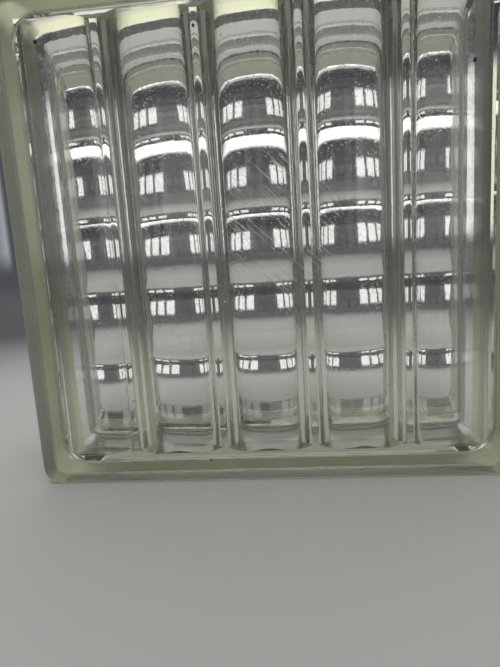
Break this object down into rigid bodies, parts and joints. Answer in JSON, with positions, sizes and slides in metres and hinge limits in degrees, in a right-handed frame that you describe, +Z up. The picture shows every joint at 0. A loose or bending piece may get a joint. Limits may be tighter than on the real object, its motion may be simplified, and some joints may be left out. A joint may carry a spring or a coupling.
{
  "type": "hollow glass block",
  "caption": "Square hollow block of clear pressed glass with crossed inner flutes and a mortar channel round its edges, for light-passing walls.",
  "frame": {"origin": "centre of the block's footprint, on the level surface that its two bottom edge flanges stand on", "axes": "+Z up; +Y through the block's thickness, from the front pane with the upright flutes to the back pane with the level flutes; +X along its width"},
  "size_m": [0.19, 0.08, 0.19],
  "materials": {
    "clear_glass": "clear pressed glass, glossy, pale yellow-green where it is thick"
  },
  "bodies": {
    "root": {"glass_block": "clear_glass"}
  },
  "joints": []
}
